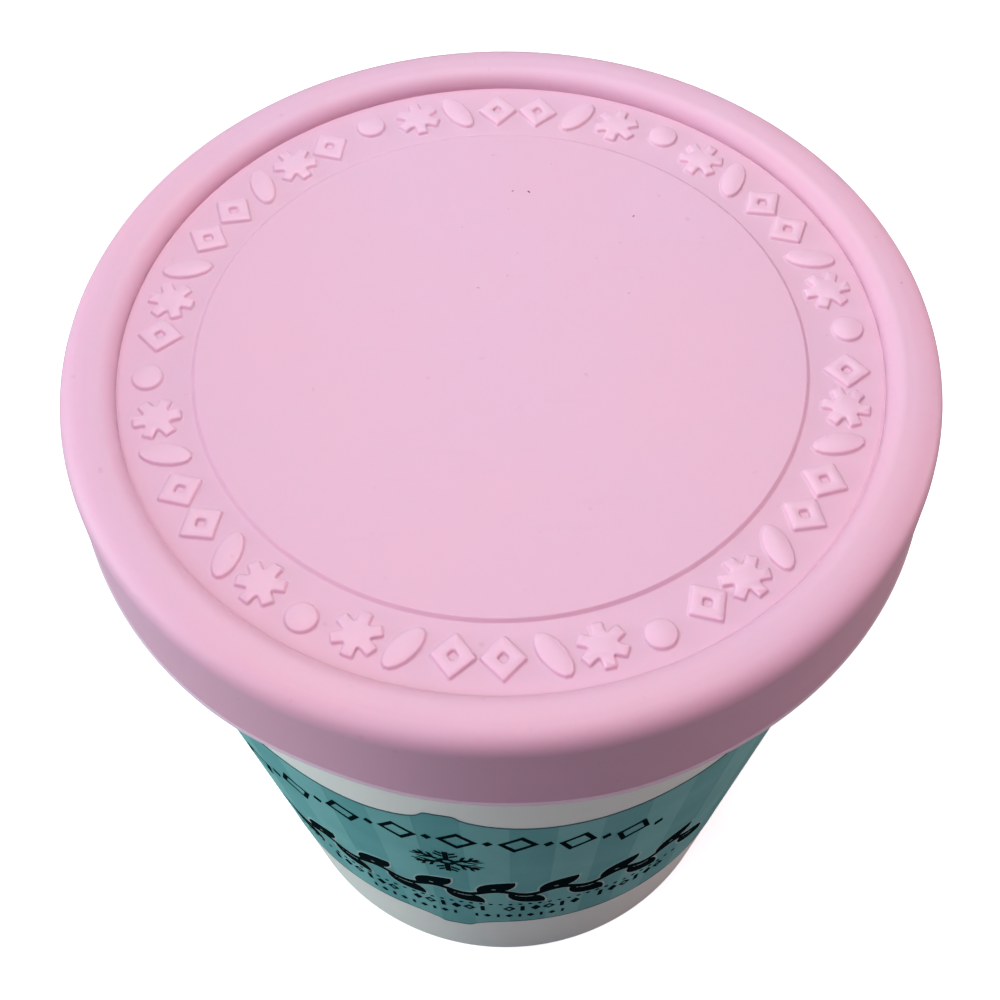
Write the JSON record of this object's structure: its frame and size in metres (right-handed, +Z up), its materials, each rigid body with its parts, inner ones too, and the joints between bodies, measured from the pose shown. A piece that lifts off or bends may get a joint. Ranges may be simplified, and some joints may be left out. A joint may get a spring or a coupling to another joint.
{
  "type": "ice cream tub",
  "caption": "Tapered round ice cream tub with a printed label panel, shut with a soft press-on lid that carries raised ornament.",
  "frame": {"origin": "centre of the tub's foot, on the surface it stands on", "axes": "+Z up along the axis the tub is turned about, -Y towards the printed panel's front, +X to the viewer's right"},
  "size_m": [0.1227, 0.1227, 0.1288],
  "materials": {
    "tub_plastic": "satin white moulded plastic",
    "lid_silicone": "soft matte pink silicone",
    "label_teal": "smooth printed two-tone teal film",
    "label_ink": "smooth printed blue-black ink"
  },
  "bodies": {
    "root": {"tub": "tub_plastic", "lid": "lid_silicone"}
  },
  "joints": []
}
